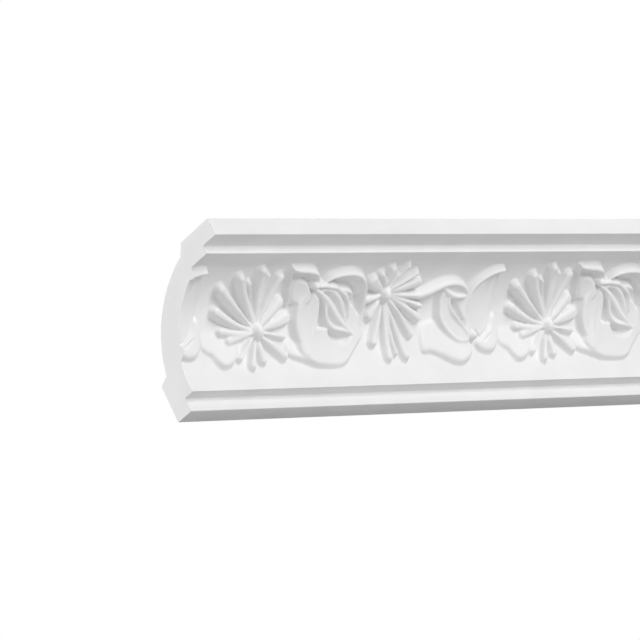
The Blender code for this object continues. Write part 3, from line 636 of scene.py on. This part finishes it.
def close_body(form):
    """Add the flat faces, the back and the two ends, so that the sheet becomes one closed body."""
    left, right, top, foot = border(form)
    profile = back_profile()
    rim_left = [form.verts.new(place(-LENGTH / 2, *point)) for point in profile]
    rim_right = [form.verts.new(place(LENGTH / 2, *point)) for point in profile]
    fill_flat(form, top + [rim_right[0], rim_left[0]], lambda v: (v.co.x, v.co.y))
    fill_flat(form, foot + [rim_right[-1], rim_left[-1]], lambda v: (v.co.x, v.co.y))
    for a, b, c, d in zip(rim_left, rim_left[1:], rim_right[1:], rim_right):
        form.faces.new((a, b, c, d))
    fill_flat(form, left + rim_left[::-1], lambda v: (v.co.y, v.co.z))
    fill_flat(form, right + rim_right[::-1], lambda v: (v.co.y, v.co.z))
    bmesh.ops.recalc_face_normals(form, faces=form.faces)


def add_noise(material, where, look):
    """A noise of the given scale and detail, fixed to the piece."""
    noise = material.node_tree.nodes.new("ShaderNodeTexNoise")
    scale, detail = look
    noise.inputs["Scale"].default_value = scale
    noise.inputs["Detail"].default_value = detail
    material.node_tree.links.new(where.outputs["Object"], noise.inputs["Vector"])
    return noise


def add_bump(material, noise, look):
    """A bump of the given strength and height in metres, driven by a noise."""
    bump = material.node_tree.nodes.new("ShaderNodeBump")
    strength, height = look
    bump.inputs["Strength"].default_value = strength
    bump.inputs["Distance"].default_value = height
    material.node_tree.links.new(noise.outputs["Fac"], bump.inputs["Height"])
    return bump


def cast_white():
    """Matt factory primer on moulded foam: near white, with faint mottling and a fine tooth."""
    material = bpy.data.materials.new("primed_white")
    material.use_nodes = True
    nodes = material.node_tree.nodes
    links = material.node_tree.links
    shader = nodes["Principled BSDF"]
    shader.inputs["Roughness"].default_value = PRIMER_ROUGHNESS
    shader.inputs["Specular IOR Level"].default_value = PRIMER_SPECULAR
    where = nodes.new("ShaderNodeTexCoord")

    tint = nodes.new("ShaderNodeValToRGB")
    for stop, position, colour in zip(tint.color_ramp.elements, (0.35, 0.65), (PRIMER_DARK, PRIMER_LIGHT)):
        stop.position = position
        stop.color = colour
    links.new(add_noise(material, where, MOTTLE).outputs["Fac"], tint.inputs["Fac"])
    links.new(tint.outputs["Color"], shader.inputs["Base Color"])

    broad = add_bump(material, add_noise(material, where, SWELL), SWELL_BUMP)
    fine = add_bump(material, add_noise(material, where, TOOTH), TOOTH_BUMP)
    links.new(broad.outputs["Normal"], fine.inputs["Normal"])
    links.new(fine.outputs["Normal"], shader.inputs["Normal"])
    return material


def cast_moulding():
    """The whole casting, in place of the faceted solid."""
    form = thinned(carved_sheet(), FACET_BUDGET)
    square_ends(form)
    close_body(form)
    mesh = bpy.data.meshes.new(PIECE)
    form.to_mesh(mesh)
    form.free()
    mesh.shade_smooth()
    mesh.set_sharp_from_angle(angle=SHARP_ANGLE)
    mesh.materials.append(cast_white())
    piece = bpy.data.objects.new(PIECE, mesh)
    bpy.context.scene.collection.objects.link(piece)
    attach(piece, "root")
    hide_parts(NODE)
    return piece


def camera_axes():
    """The camera's right, up and forward directions in the object's axes, as the rows of a matrix."""
    laid_back = Matrix(((1, 0, 0), (0, math.cos(LAID_BACK), math.sin(LAID_BACK)),
                        (0, -math.sin(LAID_BACK), math.cos(LAID_BACK))))
    turned = Matrix(((math.cos(TURN), -math.sin(TURN), 0), (0, 0, 1), (math.sin(TURN), math.cos(TURN), 0)))
    rolled = Matrix(((math.cos(ROLL), -math.sin(ROLL), 0), (math.sin(ROLL), math.cos(ROLL), 0), (0, 0, 1)))
    return rolled @ turned @ laid_back


def add_camera():
    """The camera at the photograph's viewing angle, placed from the piece's left end."""
    axes = camera_axes()
    corner = Vector((LOW[0], HIGH[1], HIGH[2]))
    lens_place = corner - axes.transposed() @ CORNER_IN_VIEW
    data = bpy.data.cameras.new("camera")
    data.sensor_width = SENSOR
    data.lens = FOCAL_PIXELS / FRAME_PIXELS * SENSOR
    data.clip_start = NEAR_CLIP
    data.clip_end = FAR_CLIP
    camera = bpy.data.objects.new("camera", data)
    right, up, forward = axes
    rotation = Matrix((right, up, -forward)).transposed().to_4x4()
    camera.matrix_world = Matrix.Translation(lens_place) @ rotation
    bpy.context.scene.collection.objects.link(camera)
    bpy.context.scene.camera = camera
    return camera


def add_softbox(name, direction, distance, power):
    """A square soft light that looks at the middle of the piece from the given direction."""
    data = bpy.data.lights.new(name, "AREA")
    data.shape = "SQUARE"
    data.size = SOFTBOX_SPREAD * distance
    data.energy = power
    lamp = bpy.data.objects.new(name, data)
    toward = Vector(direction).normalized()
    lamp.location = (Vector(LOW) + Vector(HIGH)) / 2 + toward * distance
    lamp.rotation_euler = toward.to_track_quat("Z", "Y").to_euler()
    bpy.context.scene.collection.objects.link(lamp)
    return lamp


def light_piece():
    """Soft lights placed about the camera's view, as shares right of it, above it and towards it."""
    right, up, forward = camera_axes()
    for name, across, above, toward, distance, power in SOFTBOXES:
        add_softbox(name, right * across + up * above - forward * toward, distance, power)


def add_world():
    """A white backdrop that the camera sees and that casts no light on the piece."""
    world = bpy.data.worlds.new("studio")
    world.use_nodes = True
    nodes = world.node_tree.nodes
    links = world.node_tree.links
    unlit = nodes["Background"]
    unlit.inputs["Color"].default_value = (1, 1, 1, 1)
    unlit.inputs["Strength"].default_value = 0
    backdrop = nodes.new("ShaderNodeBackground")
    backdrop.inputs["Color"].default_value = (1, 1, 1, 1)
    backdrop.inputs["Strength"].default_value = BACKDROP
    path = nodes.new("ShaderNodeLightPath")
    choose = nodes.new("ShaderNodeMixShader")
    links.new(path.outputs["Is Camera Ray"], choose.inputs["Fac"])
    links.new(unlit.outputs["Background"], choose.inputs[1])
    links.new(backdrop.outputs["Background"], choose.inputs[2])
    links.new(choose.outputs["Shader"], nodes["World Output"].inputs["Surface"])
    bpy.context.scene.world = world


def add_floor():
    """The pale studio floor below the piece."""
    bpy.ops.mesh.primitive_plane_add(size=FLOOR_SIZE, location=(0, 0, LOW[2] - FLOOR_DEPTH))
    floor = bpy.context.object
    floor.name = "floor"
    paint = bpy.data.materials.new("pale_floor")
    paint.use_nodes = True
    shader = paint.node_tree.nodes["Principled BSDF"]
    shader.inputs["Base Color"].default_value = FLOOR_PAINT
    shader.inputs["Roughness"].default_value = FLOOR_ROUGHNESS
    floor.data.materials.append(paint)


bpy.context.scene.view_settings.view_transform = "Standard"
cast_moulding()
add_camera()
add_world()
light_piece()
add_floor()
